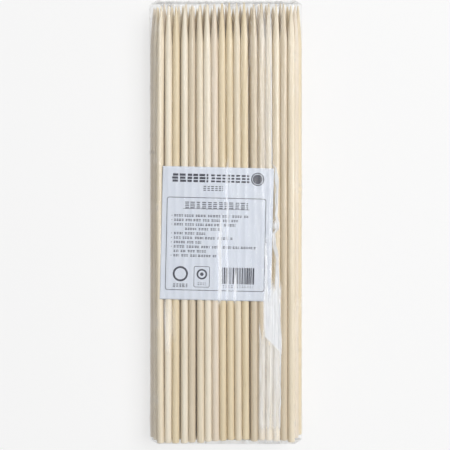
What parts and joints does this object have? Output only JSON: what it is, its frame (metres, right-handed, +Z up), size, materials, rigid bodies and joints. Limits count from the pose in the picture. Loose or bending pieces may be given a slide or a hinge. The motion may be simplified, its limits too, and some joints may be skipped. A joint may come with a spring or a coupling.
{
  "type": "pack of bamboo skewers",
  "caption": "Clear film bag holding a flat bundle of long pointed bamboo skewers, with a plain paper label lying inside under the film.",
  "frame": {"origin": "centre of the bottom face of the pack's bounding box, lying on its back", "axes": "+X across the pack, +Y along the skewers towards their points, +Z up out of the labelled front"},
  "size_m": [0.1062, 0.308, 0.0241],
  "materials": {
    "film": "clear, thin and glossy",
    "label_paper": "smooth, faintly blue white",
    "bamboo": "fine lengthwise fibres, unvarnished"
  },
  "bodies": {
    "root": {"film_bag": "film", "label": "label_paper", "second_layer": "bamboo", "middle_layer": "bamboo", "fourth_layer": "bamboo", "front_skewer_01": "bamboo", "front_skewer_02": "bamboo", "front_skewer_03": "bamboo", "front_skewer_04": "bamboo", "front_skewer_05": "bamboo", "front_skewer_06": "bamboo", "front_skewer_07": "bamboo", "front_skewer_08": "bamboo", "front_skewer_09": "bamboo", "front_skewer_10": "bamboo", "front_skewer_11": "bamboo", "front_skewer_12": "bamboo", "front_skewer_13": "bamboo", "front_skewer_14": "bamboo", "front_skewer_15": "bamboo", "front_skewer_16": "bamboo", "front_skewer_17": "bamboo", "front_skewer_18": "bamboo", "back_skewer_01": "bamboo", "back_skewer_02": "bamboo", "back_skewer_03": "bamboo", "back_skewer_04": "bamboo", "back_skewer_05": "bamboo", "back_skewer_06": "bamboo", "back_skewer_07": "bamboo", "back_skewer_08": "bamboo", "back_skewer_09": "bamboo", "back_skewer_10": "bamboo", "back_skewer_11": "bamboo", "back_skewer_12": "bamboo", "back_skewer_13": "bamboo", "back_skewer_14": "bamboo", "back_skewer_15": "bamboo", "back_skewer_16": "bamboo", "back_skewer_17": "bamboo", "back_skewer_18": "bamboo", "back_skewer_19": "bamboo", "back_skewer_20": "bamboo", "back_skewer_21": "bamboo"}
  },
  "joints": []
}
